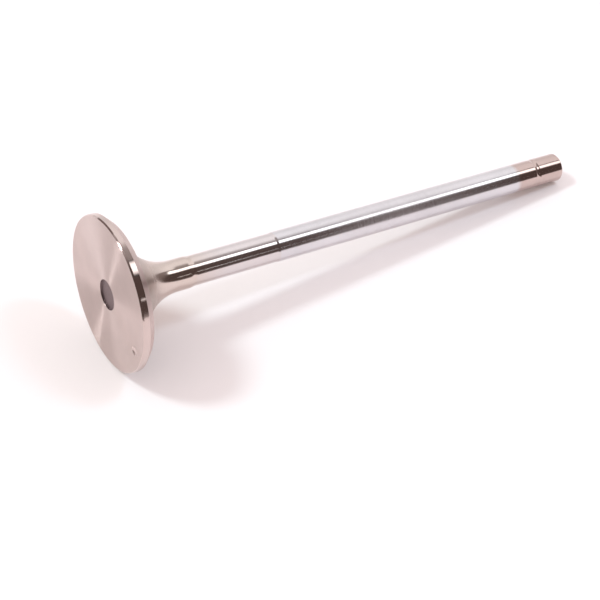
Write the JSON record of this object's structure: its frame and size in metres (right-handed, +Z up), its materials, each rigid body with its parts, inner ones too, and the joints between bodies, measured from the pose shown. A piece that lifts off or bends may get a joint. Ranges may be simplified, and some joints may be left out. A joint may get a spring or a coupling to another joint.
{
  "type": "engine valve",
  "caption": "Poppet valve turned as one piece: flat head with a 45 degree seat and a centre recess, a tulip neck, a long round stem with a guided stretch, and a keeper groove below the tip.",
  "frame": {"origin": "centre of the flat combustion face, which the valve stands on", "axes": "+Z runs up the stem from the combustion face to the tip; +X points from the axis at the ball dent in the face"},
  "size_m": [0.0404, 0.0404, 0.1414],
  "materials": {
    "valve_steel": "turned and ground, with a plated bright stem"
  },
  "bodies": {
    "root": {"valve": "valve_steel"}
  },
  "joints": []
}
